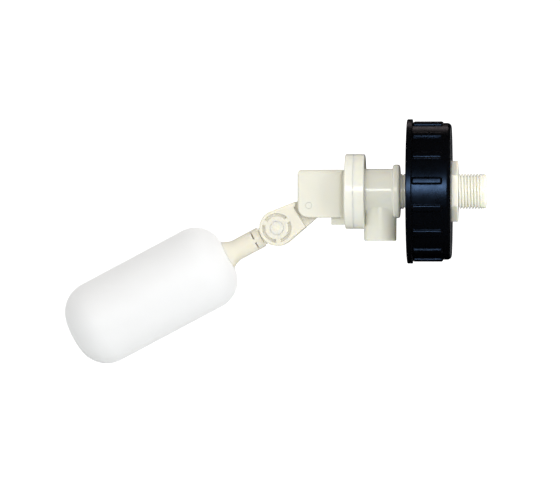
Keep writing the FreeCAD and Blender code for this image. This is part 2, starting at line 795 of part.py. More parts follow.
def make_lock_nut(label, left):
    """Hexagonal nut with a corner at the top, whose ridges fill the shank's grooves."""
    body = new_body(label)
    outline = new_sketch(body, "hexagon_sketch", "YZ_Plane", raised=left)
    corner = dim("nut_radius")
    flat = corner * math.sqrt(3) / 2
    polygon(outline, [
        (0, corner), (-flat, corner / 2), (-flat, -corner / 2),
        (0, -corner), (flat, -corner / 2), (flat, corner / 2),
    ])
    clear = dim("thread_gap")
    circle(outline, 0, 0, major + clear)
    pad(body, "hexagon", outline, dim("nut_thick"))
    along = Vector(1, 0, 0)

    def corner_edge(edge):
        return isinstance(edge.Curve, Part.Line) and abs(edge.Curve.Direction.dot(along)) > 0.999

    dress(body, "Fillet", "corners", as_size(1.0), corner_edge)
    centre = left + dim("nut_thread_first")
    tip, base = dim("thread_root") / 2 - clear / 2, groove_top / 2 - clear
    ridge = revolve(body, "thread_ridge", [
        (centre - base, major + clear * 2), (centre - base, major), (centre - tip, minor + clear),
        (centre + tip, minor + clear), (centre + base, major), (centre + base, major + clear * 2),
    ])
    row_pattern(body, "thread", ridge, pitch, as_size(2), 1)
    return body


def make_float_lever():
    """Lever along its own X axis: two slotted ears, a step, a web, a hub and a cam nose."""
    body = new_body("float_lever")
    disc, web = dim("disc_radius"), dim("web_radius")
    length, ear = dim("web_length"), dim("ear_half")
    taper = (disc - web) / length
    upright = math.sqrt(1 - taper.value ** 2)
    disc_x, disc_z = disc * taper, disc * upright
    web_x, web_z = length + web * taper, web * upright
    step, brow = dim("fork_step"), dim("brow_reach")
    brow_z = disc_z - (brow - disc_x) * taper / upright
    bottom_z = disc_z - (step - disc_x) * taper / upright

    ears = new_sketch(body, "ears_sketch", "XZ_Plane")
    circle(ears, 0, 0, disc)
    pad(body, "ears", ears, ear * 2, symmetric=True)
    shoulder = new_sketch(body, "shoulder_sketch", "XZ_Plane")
    polygon(shoulder, [
        (disc_x, disc_z), (brow, brow_z), (brow - dim("brow_slant"), dim("brow_low")),
        (step, dim("brow_low")), (step, -bottom_z), (disc_x, -disc_z),
    ])
    pad(body, "shoulder", shoulder, ear * 2, symmetric=True)
    web_sketch = new_sketch(body, "web_sketch", "XZ_Plane")
    polygon(web_sketch, [
        (disc_x, disc_z - 0.3), (web_x, web_z - 0.3), (web_x, -web_z), (disc_x, -disc_z),
    ])
    pad(body, "web", web_sketch, dim("web_half") * 2, symmetric=True)
    end = new_sketch(body, "end_sketch", "XZ_Plane")
    circle(end, length, 0, web)
    pad(body, "web_end", end, dim("web_half") * 2, symmetric=True)

    slope = dim("lever_slope")
    reach_x, reach_z = pivot_x - dim("elbow_across"), pivot_z - dim("elbow_up")
    hub_x = reach_x * cosine(slope) + reach_z * sine(slope)
    hub_z = reach_z * cosine(slope) - reach_x * sine(slope)
    nose_x = hub_x + dim("nose_arm") * sine(slope)
    nose_z = hub_z + dim("nose_arm") * cosine(slope)
    hub = new_sketch(body, "hub_sketch", "XZ_Plane")
    circle(hub, hub_x, hub_z, dim("hub_radius"))
    pad(body, "hub", hub, dim("hub_half") * 2, symmetric=True)
    arm = new_sketch(body, "arm_sketch", "XZ_Plane")
    side_x, side_z = dim("nose_radius") * cosine(slope), dim("nose_radius") * sine(slope)
    polygon(arm, [
        (hub_x - side_x, hub_z + side_z), (hub_x + side_x, hub_z - side_z),
        (nose_x + side_x, nose_z - side_z), (nose_x - side_x, nose_z + side_z),
    ])
    pad(body, "arm", arm, dim("nose_half") * 2, symmetric=True)
    nose = new_sketch(body, "nose_sketch", "XZ_Plane")
    circle(nose, nose_x, nose_z, dim("nose_radius"))
    pad(body, "nose", nose, dim("nose_half") * 2, symmetric=True)

    fork = new_sketch(body, "fork_sketch", "XZ_Plane")
    rectangle(fork, -disc - 2, dim("fork_clear"), -disc - 2, disc + 2)
    pocket(body, "fork", fork, dim("ear_inside") * 2, symmetric=True)
    bores = new_sketch(body, "bores_sketch", "XZ_Plane")
    circle(bores, 0, 0, dim("elbow_radius"))
    circle(bores, hub_x, hub_z, dim("pivot_radius") + gap)
    pocket(body, "bores", bores, ear * 2 + 2, symmetric=True)
    for side, name in zip(MIRRORED, ("near", "far")):
        seat = new_sketch(body, f"{name}_seat_sketch", "XZ_Plane", raised=ear * side)
        circle(seat, 0, 0, dim("elbow_head") + 0.05)
        pocket(body, f"{name}_seat", seat, dim("elbow_head_depth") - 0.2, reverse=side < 0)
    start = dim("slot_middle") - dim("slot_span") / 2 - slope
    for side, name in zip(MIRRORED, ("near", "far")):
        slot = new_sketch(body, f"{name}_slot_sketch", "XZ_Plane", raised=ear * side)
        arc_slot(slot, dim("slot_inner"), dim("slot_outer"), start, dim("slot_span"))
        cut = pocket(body, f"{name}_slot", slot, dim("slot_depth"), reverse=side < 0)
        turn_pattern(body, f"{name}_slots", cut, "Y_Axis", as_size(3), -1)
    outer_face = DIMENSIONS["ear_half"]

    def ear_rim(edge):
        if not isinstance(edge.Curve, Part.Circle):
            return False
        on_face = abs(abs(edge.CenterOfMass.y) - outer_face) < 0.01
        return on_face and abs(edge.Curve.Radius - disc.value) < 0.01

    dress(body, "Fillet", "ear_rims", dim("edge_round"), ear_rim)
    place(body, dim("elbow_across"), dim("elbow_up"), -slope)
    return body


def cross_pin(label, across, up, half, radius, chamfer):
    """A plain pin along Y with chamfered ends."""
    body = new_body(label)
    outline = new_sketch(body, "round_sketch", "XZ_Plane")
    circle(outline, 0, 0, radius)
    pad(body, "round", outline, half * 2, symmetric=True)
    dress(body, "Chamfer", "ends", chamfer, lambda edge: isinstance(edge.Curve, Part.Circle))
    place(body, across, up)
    return body


def make_elbow_pin():
    """Shaft with a flat head in each ear."""
    body = new_body("elbow_pin")
    ear, head = dim("ear_half"), dim("elbow_head_depth")
    shaft = new_sketch(body, "shaft_sketch", "XZ_Plane")
    circle(shaft, 0, 0, dim("elbow_radius"))
    pad(body, "shaft", shaft, ear * 2, symmetric=True)
    for side, name in zip(MIRRORED, ("near", "far")):
        rim = new_sketch(body, f"{name}_head_sketch", "XZ_Plane", raised=(ear + 0.2) * side)
        circle(rim, 0, 0, dim("elbow_head"))
        pad(body, f"{name}_head", rim, head, reverse=side > 0)
    place(body, dim("elbow_across"), dim("elbow_up"))
    return body


def make_float_stem():
    """Float arm along its own X axis: tongue, neck, round stem, flare and plug."""
    body = new_body("float_stem")
    thick = dim("tongue_half") * 2
    tongue = new_sketch(body, "tongue_sketch", "XZ_Plane")
    circle(tongue, 0, 0, dim("tongue_radius"))
    pad(body, "tongue", tongue, thick, symmetric=True)
    neck = new_sketch(body, "neck_sketch", "XZ_Plane")
    rectangle(neck, 0, dim("stem_step") + 1, -dim("stem_neck"), dim("stem_neck"))
    pad(body, "neck", neck, thick, symmetric=True)
    stem, flare = dim("stem_radius"), dim("flare_radius")
    start, end = dim("flare_start"), dim("flare_end")
    swell = flare - stem
    run = end - start
    groove, groove_end = end + 4, end + 6
    revolve(body, "stem", [
        (dim("stem_step"), 0), (dim("stem_step"), stem), (start, stem),
        (start + run * 0.35, stem + swell * 0.12), (start + run * 0.65, stem + swell * 0.4),
        (start + run * 0.85, stem + swell * 0.72), (end - 0.4, flare - 0.1), (end, flare),
        (end, dim("plug_radius")), (groove, dim("plug_radius")), (groove, dim("stem_radius") - 0.3),
        (groove_end, dim("stem_radius") - 0.3), (groove_end, dim("plug_radius")),
        (dim("plug_end") - 1.5, dim("plug_radius")), (dim("plug_end"), dim("plug_radius") - 1),
        (dim("plug_end"), 0),
    ])
    bore = new_sketch(body, "bore_sketch", "XZ_Plane")
    circle(bore, 0, 0, dim("elbow_radius") + gap)
    pocket(body, "bore", bore, thick + 2, symmetric=True)
    left = dim("notch_place")
    right = left + dim("notch_width")
    for side, name in zip(MIRRORED, ("near", "far")):
        for low, high, place_name in (
            (-stem, dim("notch_bar_left"), "upper"), (dim("notch_bar_right"), stem, "lower"),
        ):
            notch = new_sketch(body, f"{name}_{place_name}_notch_sketch", "XZ_Plane",
                               raised=stem * side)
            rectangle(notch, left, right, low, high)
            pocket(body, f"{name}_{place_name}_notch", notch, dim("notch_depth"), reverse=side < 0)
    place(body, dim("elbow_across"), dim("elbow_up"), as_size(180) - dim("arm_slope"))
    return body


def make_float_shell():
    """Hollow float along its own X axis, with a socket for the stem's plug at the near end."""
    body = new_body("float_shell")
    near = dim("flare_end")
    far = near + dim("float_length")
    wall, corner = dim("float_wall"), dim("float_corner")
    outer, socket = dim("float_radius"), dim("socket_radius")
    tube = socket + dim("socket_wall")
    socket_end = dim("plug_end") + 0.5
    inside = outer - wall
    revolve(body, "wall", [
        (near, 0), (near, outer, corner), (far, outer, corner), (far, 0),
    ])
    revolve(body, "hollow", [
        (near + wall, 0), (near + wall, inside, corner - wall), (far - wall, inside, corner - wall),
        (far - wall, 0),
    ], cut=True)
    revolve(body, "socket_tube", [
        (near + wall / 2, socket - 1), (near + wall / 2, tube),
        (socket_end, tube), (socket_end, socket - 1),
    ])
    revolve(body, "socket", [(near, 0), (near, socket), (socket_end, socket), (socket_end, 0)], cut=True)
    place(body, dim("elbow_across"), dim("elbow_up"), as_size(180) - dim("arm_slope"))
    return body


def make_cover_screws():
    """Four pan-head screws with a cross recess, in the counterbores of the housing's flange."""
    head, depth = DIMENSIONS["screw_head"], DIMENSIONS["screw_head_depth"]
    shank, length = DIMENSIONS["screw_radius"], DIMENSIONS["screw_length"]
    towards_seat = Vector(1, 0, 0)
    base = Vector(DIMENSIONS["flange_left"], screw_offset.value, screw_offset.value)
    recess_depth, recess_long, recess_wide = 1.0, 3.0, 0.7
    screw = Part.makeCylinder(head, depth, base, towards_seat)
    screw = screw.fuse(Part.makeCylinder(shank, length + depth, base, towards_seat))
    for across, tall in ((recess_long, recess_wide), (recess_wide, recess_long)):
        corner = base - Vector(0, across / 2, tall / 2)
        screw = screw.cut(Part.makeBox(recess_depth, across, tall, corner))
    screw = screw.removeSplitter()
    screws = []
    for turn in range(4):
        copy = screw.copy()
        copy.rotate(Vector(0, 0, 0), towards_seat, 90 * turn)
        screws.append(copy)
    feature = doc.addObject("Part::Feature", "cover_screws")
    feature.Label = "cover_screws"
    feature.Shape = Part.makeCompound(screws)
    return feature


def make_float_o_ring():
    """O-ring in the groove of the stem's plug."""
    slope = dim("arm_slope")
    along = dim("flare_end") + 5
    floor = dim("stem_radius") - 0.3
    cord = (dim("socket_radius") - floor) / 2
    ring = make_torus("float_o_ring", dim("elbow_across") - along * cosine(slope), floor + cord, cord)
    up = dim("elbow_up") - along * sine(slope)
    ring.Placement = FreeCAD.Placement(
        Vector(ring.Placement.Base.x, 0, up.value),
        FreeCAD.Rotation(Vector(0, 1, 0), 90 - slope.value),
    )
    ring.setExpression("Placement.Base.z", up.text)
    ring.setExpression("Placement.Rotation.Angle", (as_size(90) - slope).text)
    return ring


nozzle_groove = dim("nozzle_step") + dim("ring_groove") + dim("ring_groove_width") / 2
nozzle_cord = (dim("strainer_bore") - dim("ring_groove_floor")) / 2
nozzle_ring = nozzle_cord + dim("ring_groove_floor")
back_nut_left = dim("cap_face") - pitch * dim("nut_back_turns")
back_nut_right = back_nut_left + dim("nut_thick")
pivot_half = dim("housing_half") + 0.1
seal_outline = tube_outline(as_size(0), dim("cap_inside"), dim("seal_inner"), dim("seal_outer"))
gasket_outline = tube_outline(back_nut_right, dim("cap_inside"), major + 0.1, dim("gasket_radius"))

pieces = [
    make_valve_body(),
    make_lever_housing(),
    make_seat_nozzle(),
    make_torus("nozzle_o_ring", nozzle_groove, nozzle_ring, nozzle_cord),
    make_strainer(),
    make_diaphragm(),
    make_seal_pad(),
    make_plunger(),
    make_cover_screws(),
    cross_pin("pivot_pin", pivot_x, pivot_z, pivot_half, dim("pivot_radius"), as_size(0.3)),
    make_tank_cap(),
    ring_piece("cap_seal", seal_outline),
    ring_piece("cap_gasket", gasket_outline),
    make_lock_nut("inner_lock_nut", back_nut_left),
    make_lock_nut("outer_lock_nut", dim("cap_face")),
    make_float_lever(),
    make_elbow_pin(),
    make_float_stem(),
    make_float_o_ring(),
    make_float_shell(),
]

# Checks, then one file for each piece
doc.recompute()
for thing in doc.Objects:
    if any(state in ("Invalid", "Error") for state in thing.State):
        raise RuntimeError(f"{thing.Label} failed: {thing.State}")
for piece in pieces:
    if piece.Shape.isNull() or not piece.Shape.isValid():
        raise RuntimeError(f"{piece.Label} has no valid shape")
    if not piece.Shape.Solids:
        raise RuntimeError(f"{piece.Label} has no solid")

os.makedirs("parts", exist_ok=True)
for piece in pieces:
    piece.Shape.exportStep(f"parts/{piece.Label}.step")
    print(f"{piece.Label}: {len(piece.Shape.Solids)} solid, {piece.Shape.Volume:.0f} mm3")
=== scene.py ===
import json
import math

import bmesh
import bpy
from mathutils import Matrix, Vector


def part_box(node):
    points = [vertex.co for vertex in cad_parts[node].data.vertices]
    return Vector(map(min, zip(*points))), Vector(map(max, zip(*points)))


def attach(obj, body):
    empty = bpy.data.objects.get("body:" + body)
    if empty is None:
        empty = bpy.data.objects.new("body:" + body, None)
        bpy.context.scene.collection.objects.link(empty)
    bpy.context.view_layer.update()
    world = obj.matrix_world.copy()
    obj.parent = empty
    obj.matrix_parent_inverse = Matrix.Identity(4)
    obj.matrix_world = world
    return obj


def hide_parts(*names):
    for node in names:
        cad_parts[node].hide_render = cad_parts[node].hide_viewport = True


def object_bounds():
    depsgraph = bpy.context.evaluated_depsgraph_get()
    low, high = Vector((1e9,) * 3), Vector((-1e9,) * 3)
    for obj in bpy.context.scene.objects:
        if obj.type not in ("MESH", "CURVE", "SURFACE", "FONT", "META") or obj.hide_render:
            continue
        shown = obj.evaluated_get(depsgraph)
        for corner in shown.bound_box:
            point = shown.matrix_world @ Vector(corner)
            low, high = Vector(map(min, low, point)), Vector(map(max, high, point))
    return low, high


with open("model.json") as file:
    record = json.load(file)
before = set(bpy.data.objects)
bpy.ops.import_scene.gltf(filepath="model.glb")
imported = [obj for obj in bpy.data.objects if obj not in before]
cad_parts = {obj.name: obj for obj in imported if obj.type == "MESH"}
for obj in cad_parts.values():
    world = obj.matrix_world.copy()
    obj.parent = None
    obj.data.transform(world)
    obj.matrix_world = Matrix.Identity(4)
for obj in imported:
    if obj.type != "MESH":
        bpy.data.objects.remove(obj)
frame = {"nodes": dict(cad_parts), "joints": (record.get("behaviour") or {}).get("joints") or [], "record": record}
cad_low, cad_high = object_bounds()
MM = 0.001

# ---------------------------------------------------------------- materials


def tinted(colour, factor):
    """That colour times the factor, as four values no larger than 1."""
    return (*[min(1, value * factor) for value in colour], 1)


def moulded(name, colour, roughness, tint=0.03, grain=1400, depth=0.02, flow=60, matte_and_painted_shade=None, edge=None,
            **sockets):
    """Moulded plastic: cloudy tint, uneven gloss, edges rubbed paler and a fine skin, in object space.

    grain, flow and tint are the skin's and the clouds' noise scales and the clouds' strength; depth is the
    skin's height in millimetres. matte is (x, roughness, shade): left of that place the skin is that rough
    and its colour is multiplied by shade, a painted shade. Other values go straight to the shader's sockets
    of that name.
    """
    material = bpy.data.materials.new(name)
    material.use_nodes = True
    shader = material.node_tree.nodes["Principled BSDF"]
    shader.inputs["Base Color"].default_value = (*colour, 1)
    shader.inputs["Roughness"].default_value = roughness
    for socket, value in sockets.items():
        shader.inputs[socket.replace("_", " ")].default_value = value
    add, link = material.node_tree.nodes.new, material.node_tree.links.new
    where = add("ShaderNodeTexCoord").outputs["Object"]

    def noise(scale, detail, rough=0.5):
        node = add("ShaderNodeTexNoise")
        node.inputs["Scale"].default_value = scale
        node.inputs["Detail"].default_value = detail
        node.inputs["Roughness"].default_value = rough
        link(where, node.inputs["Vector"])
        return node.outputs["Fac"]

    def spread(source, low, high):
        node = add("ShaderNodeMapRange")
        node.inputs["From Min"].default_value = 0.3
        node.inputs["From Max"].default_value = 0.7
        node.inputs["To Min"].default_value = low
        node.inputs["To Max"].default_value = high
        link(source, node.inputs["Value"])
        return node.outputs["Result"]

    def mix(factor, first, second, kind="MIX"):
        """Mixes two colours, each a constant or another node's output."""
        node = add("ShaderNodeMix")
        node.data_type = "RGBA"
        node.blend_type = kind
        link(factor, node.inputs[0])
        for socket, value in ((node.inputs[6], first), (node.inputs[7], second)):
            if isinstance(value, tuple):
                socket.default_value = value
            else:
                link(value, socket)
        return node.outputs[2]

    tone = mix(noise(flow, 3), tinted(colour, 1 - tint), tinted(colour, 1 + tint))
    rubbed = add("ShaderNodeMapRange")
    rubbed.inputs["From Min"].default_value = 0.515
    rubbed.inputs["From Max"].default_value = 0.6
    link(add("ShaderNodeNewGeometry").outputs["Pointiness"], rubbed.inputs["Value"])
    patchy = add("ShaderNodeMath")
    patchy.operation = "MULTIPLY"
    link(rubbed.outputs["Result"], patchy.inputs[0])
    link(spread(noise(flow * 12, 3), 0.35, 1.0), patchy.inputs[1])
    tone = mix(patchy.outputs["Value"], tone, (*edge, 1) if edge else tinted(colour, 1.08))
    smear = noise(flow * 4, 4)
    gloss = spread(smear, roughness * 0.88, roughness * 1.12)
    if matte_and_painted_shade:
        split = add("ShaderNodeSeparateXYZ")
        link(where, split.inputs["Vector"])
        zone = add("ShaderNodeMapRange")
        zone.inputs["From Min"].default_value = (matte_and_painted_shade[0] - 0.4) * MM
        zone.inputs["From Max"].default_value = (matte_and_painted_shade[0] + 0.4) * MM
        link(split.outputs["X"], zone.inputs["Value"])
        blend = add("ShaderNodeMix")
        link(zone.outputs["Result"], blend.inputs[0])
        link(spread(smear, matte_and_painted_shade[1] * 0.9, matte_and_painted_shade[1] * 1.1), blend.inputs[2])
        link(gloss, blend.inputs[3])
        gloss = blend.outputs[0]
        # Painted shade: left of that place the colour is multiplied by the shade value, so that zone reads darker.
        turn = add("ShaderNodeMapRange")
        turn.inputs["To Min"].default_value = 1
        turn.inputs["To Max"].default_value = 0
        link(zone.outputs["Result"], turn.inputs["Value"])
        tone = mix(turn.outputs["Result"], tone, (*matte_and_painted_shade[2], 1), "MULTIPLY")
    link(tone, shader.inputs["Base Color"])
    link(gloss, shader.inputs["Roughness"])
    skin = add("ShaderNodeBump")
    skin.inputs["Strength"].default_value = 0.25
    skin.inputs["Distance"].default_value = depth * MM
    link(noise(grain, 2), skin.inputs["Height"])
    link(skin.outputs["Normal"], shader.inputs["Normal"])
    return material


IVORY = (0.815, 0.805, 0.72)
looks = {
    "ivory": moulded("ivory", IVORY, 0.17, Subsurface_Weight=0.75,
                     Subsurface_Radius=(1.0, 0.88, 0.6), Subsurface_Scale=0.0035),
    # Housing box: rougher skin, plus a painted shade that darkens its colour left of x -58.2 mm to tone down how
    # brightly its flat sides are lit.
    "ivory_cover": moulded("ivory_cover", IVORY, 0.17, matte_and_painted_shade=(-58.2, 0.5, (0.86, 0.855, 0.835)),
                           Subsurface_Weight=0.25, Subsurface_Radius=(1.0, 0.8, 0.45),
                           Subsurface_Scale=0.003),
    # Painted shade: this copy of the ivory is darker and yellower, darkened to tone down how brightly the lever,
    # stem and elbow pin are lit.
    "ivory_lever": moulded("ivory_lever", (0.72, 0.69, 0.59), 0.45, Subsurface_Weight=0.5,
                           Subsurface_Radius=(1.0, 0.85, 0.5), Subsurface_Scale=0.004),
    "float": moulded("float", (0.89, 0.895, 0.89), 0.5, tint=0.012, Subsurface_Weight=0.45,
                     Subsurface_Radius=(1.0, 1.0, 0.96), Subsurface_Scale=0.008,
                     Sheen_Weight=0.8, Sheen_Roughness=0.5),
    "black": moulded("black", (0.0016, 0.0016, 0.0018), 0.28, tint=0.2, depth=0.008, edge=(0.02, 0.02, 0.022),
                     Specular_IOR_Level=0.72, Specular_Tint=(0.31, 0.54, 1.0, 1)),
    "rubber": moulded("rubber", (0.02, 0.02, 0.02), 0.7),
    "acetal": moulded("acetal", (0.85, 0.85, 0.83), 0.35),
    "steel": moulded("steel", (0.62, 0.62, 0.6), 0.38, grain=2600, flow=400, Metallic=0.45),
}
SHOWN_AS = {
    "valve_body": "ivory", "inner_lock_nut": "ivory", "outer_lock_nut": "ivory",
    "lever_housing": "ivory_cover", "pivot_pin": "ivory_cover",
    "float_lever": "ivory_lever", "elbow_pin": "ivory_lever", "float_stem": "ivory_lever",
    "tank_cap": "black", "float_shell": "float", "cap_gasket": "rubber", "cap_seal": "rubber",
    "nozzle_o_ring": "rubber", "diaphragm": "rubber", "seal_pad": "rubber", "float_o_ring": "rubber",
    "seat_nozzle": "acetal", "plunger": "acetal", "inlet_strainer": "acetal",
    "cover_screws": "steel",
}


def smooth(mesh, angle=32):
    mesh.shade_smooth()
    mesh.set_sharp_from_angle(angle=math.radians(angle))


def even_shading(piece):
    """Lets broad faces keep their own direction where they meet narrow roundings."""
    modifier = piece.modifiers.new("shading", "WEIGHTED_NORMAL")
    modifier.keep_sharp = True


for node, look in SHOWN_AS.items():
    mesh = frame["nodes"][node].data
    mesh.materials.clear()
    mesh.materials.append(looks[look])
    smooth(mesh)
    even_shading(frame["nodes"][node])

# ---------------------------------------------------------------- mesh tools


def rounded(corners, steps=5):
    """Outline points for a closed list of (along, out) corners; a third value rounds that corner."""
    points = []
    for index, corner in enumerate(corners):
        here = Vector(corner[:2])
        if len(corner) < 3 or not corner[2]:
            points.append(here)
            continue
        back = Vector(corners[index - 1][:2]) - here
        ahead = Vector(corners[(index + 1) % len(corners)][:2]) - here
        half = back.angle(ahead) / 2
        radius = min(corner[2], 0.96 * min(back.length, ahead.length) * math.tan(half))
        centre = here + (back.normalized() + ahead.normalized()).normalized() * radius / math.sin(half)
        start = here + back.normalized() * radius / math.tan(half) - centre
        end = here + ahead.normalized() * radius / math.tan(half) - centre
        first = math.atan2(start.y, start.x)
        sweep = (math.atan2(end.y, end.x) - first + math.pi) % (2 * math.pi) - math.pi
        for step in range(steps + 1):
            turn = first + sweep * step / steps
            points.append(centre + radius * Vector((math.cos(turn), math.sin(turn))))
    return points


def divided(points, low, high, step):
    """The same outline with no run inside low..high along it longer than step."""
    result = []
    for index, here in enumerate(points):
        following = points[(index + 1) % len(points)]
        result.append(here)
        left, right = sorted((here.x, following.x))
        if right - left > step and left < high and right > low:
            count = math.ceil((right - left) / step)
            result += [here.lerp(following, i / count) for i in range(1, count)]
    return result


def new_piece(name, work, look, body, shade=30):
    """Turns a bmesh in millimetres into a piece with that look, riding on that body."""
    bmesh.ops.recalc_face_normals(work, faces=work.faces)
    mesh = bpy.data.meshes.new(name)
    work.to_mesh(mesh)
    work.free()
    mesh.transform(Matrix.Scale(MM, 4))
    mesh.materials.append(looks[look])
    smooth(mesh, shade)
    piece = bpy.data.objects.new(name, mesh)
    bpy.context.scene.collection.objects.link(piece)
    if body:
        even_shading(piece)
        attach(piece, body)
    return piece


def turned(points, angles, surface=None, frame_of=None):
    """A closed skin of revolution about X. surface(along, angle, out) may move a point in or out."""
    work = bmesh.new()
    place_of = frame_of or Matrix.Identity(4)
    rings = []
    for along, out in points:
        if out < 1e-6:
            rings.append([work.verts.new(place_of @ Vector((along, 0, 0)))])
            continue
        ring = []
        for angle in angles:
            r = surface(along, angle, out) if surface else out
            ring.append(work.verts.new(place_of @ Vector((along, r * math.cos(angle), r * math.sin(angle)))))
        rings.append(ring)
    count = len(angles)
    for index, ring in enumerate(rings):
        following = rings[(index + 1) % len(rings)]
        if len(ring) == 1 and len(following) == 1:
            continue
        for i in range(count):
            j = (i + 1) % count
            if len(ring) == 1:
                work.faces.new((ring[0], following[j], following[i]))
            elif len(following) == 1:
                work.faces.new((ring[i], ring[j], following[0]))
            else:
                work.faces.new((ring[i], ring[j], following[j], following[i]))
    return work


def prism(outline, axis, low, high):
    """A closed outline swept along one axis; its two values are the other two axes in order."""
    work = bmesh.new()
    slot = "XYZ".index(axis)
    ends = [[work.verts.new((*point[:slot], level, *point[slot:])) for point in outline]
            for level in (low, high)]
    for index in range(len(outline)):
        after = (index + 1) % len(outline)
        work.faces.new((ends[0][index], ends[0][after], ends[1][after], ends[1][index]))
    work.faces.new(ends[0][::-1])
    work.faces.new(ends[1])
    return work


def box_outline(left, right, low, high, low_round=0, high_round=0, steps=6):
    return rounded([(left, low, low_round), (right, low, low_round),
                    (right, high, high_round), (left, high, high_round)], steps)


def even(count):
    return [2 * math.pi * i / count for i in range(count)]


def ease(value):
    value = min(1.0, max(0.0, value))
    return value * value * (3 - 2 * value)


def screw(along, angle, start, pitch, root, crest):
    """1 at the bottom of a right-hand helical groove, 0 on the land between turns."""
    phase = ((along - start) / pitch + angle / (2 * math.pi)) % 1.0
    off = min(phase, 1 - phase) * pitch
    run = (pitch - root - crest) / 2
    slope = min(1.0, max(0.0, (off - root / 2) / run))
    return 1 - (0.6 * slope + 0.4 * ease(slope))


def carved(target, *tools):
    """Applies boolean tools, given as (operation, piece) pairs, and returns the finished mesh object."""
    for operation, tool in tools:
        modifier = target.modifiers.new("carve", "BOOLEAN")
        modifier.operation = operation
        modifier.object = tool
        modifier.solver = "EXACT"
    graph = bpy.context.evaluated_depsgraph_get()
    mesh = bpy.data.meshes.new_from_object(target.evaluated_get(graph))
    target.modifiers.clear()
    target.data = mesh
    for operation, tool in tools:
        bpy.data.objects.remove(tool)
    even_shading(target)
    return target


# ---------------------------------------------------------------- tank cap

RIB_PACE, RIB_TURN = math.radians(22.5), math.radians(82.3)
RIB_HALF, RIB_CORNER, RIB_FOOT, RIB_CREST = 2.3, 1.5, 0.2, 1.2
CAP_PITCH, CAP_THREAD = 6.0, 1.55


def corners_of(node):
    """The lowest and the highest corner of a node at rest, in millimetres."""
    return [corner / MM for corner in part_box(node)]


def make_cap():
    low, high = corners_of("tank_cap")
    opening, face = low.x, high.x
    lip, skirt, bore, hole = high.z, high.z - 2.3, high.z - 5.7, 10.7
    lip_right, inside, rib_end = opening + 3.3, face - 3.6, face - 4.8
    points = rounded([
        (opening, bore + 0.8, 0.3), (opening, lip, 0.7), (lip_right, lip, 0.3),
        (lip_right + 0.25, skirt, 0.25), (face, skirt, 2.6), (face, hole, 0.25), (inside, hole),
        (inside, bore, 0.3), (opening + 0.8, bore, 0.3),
    ], 6)
    points = divided(points, rib_end - 2.2, rib_end + 0.5, 0.11)
    points = divided(points, lip_right, lip_right + 2.2, 0.11)
    points = divided(points, opening, face, 0.6)
    offsets = [0, 0.5, 0.9, 1.05, 1.21, 1.34, 1.463, 1.57, 1.671, 1.75, 1.819, 1.885, 1.939, 1.99,
               2.028, 2.06, 2.082, 2.1, 2.115, 2.159, 2.223, 2.3, 2.6, 3.4, 4.6, 6.2]
    spread = [-o for o in offsets[:0:-1]] + offsets + [RIB_PACE * skirt / 2]
    angles = [RIB_PACE * rib + RIB_TURN + o / skirt for rib in range(16) for o in spread]
    middle_x, half_x = (lip_right + rib_end) / 2, (rib_end - lip_right) / 2

    def surface(along, angle, out):
        if skirt - 0.01 < out < skirt + 0.6 and lip_right < along < rib_end + 0.6:
            turn = (angle - RIB_TURN + RIB_PACE / 2) % RIB_PACE - RIB_PACE / 2
            dx = abs(along - middle_x) - (half_x - RIB_CORNER)
            dy = abs(turn * skirt) - (RIB_HALF - RIB_CORNER)
            depth = RIB_CORNER - min(max(dx, dy), 0) - math.hypot(max(dx, 0), max(dy, 0))
            if depth <= 0:
                return out
            if depth <= RIB_FOOT:
                return max(out, skirt + RIB_FOOT - math.sqrt(RIB_FOOT ** 2 - depth ** 2))
            return skirt + RIB_FOOT + math.sqrt(RIB_CREST ** 2 - max(0, RIB_FOOT + RIB_CREST - depth) ** 2)
        if abs(out - bore) < 0.05 and along < inside - 1.2:
            fade = ease((along - opening - 1.2) / 3.5) * ease((inside - 2.2 - along) / 3.0)
            return out - CAP_THREAD * fade * (1 - screw(along, -angle, opening, CAP_PITCH, 2.9, 1.4))
        return out

    piece = new_piece("cap_moulding", turned(points, angles, surface), "black", "valve", 38)
    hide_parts("tank_cap")


make_cap()

# ---------------------------------------------------------------- body, nuts and float

mount = {entry["name"]: entry for entry in frame["record"]["mounts"]}
joint = {entry["name"]: entry for entry in frame["joints"]}
MAJOR = mount["inlet_thread"]["dims"]["r_mm"]
PITCH, THREAD = 1.814, 1.162
THREAD_LEFT, THREAD_RIGHT = -24.8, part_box("valve_body")[1].x / MM - 3.2


def shank_radius(along, angle):
    fade = ease((along - THREAD_LEFT - 0.4) / 1.6) * ease((THREAD_RIGHT + 0.3 - along) / 1.6)
    return MAJOR - THREAD * fade * screw(along, -angle, THREAD_RIGHT, PITCH, 0.12, 0.75)


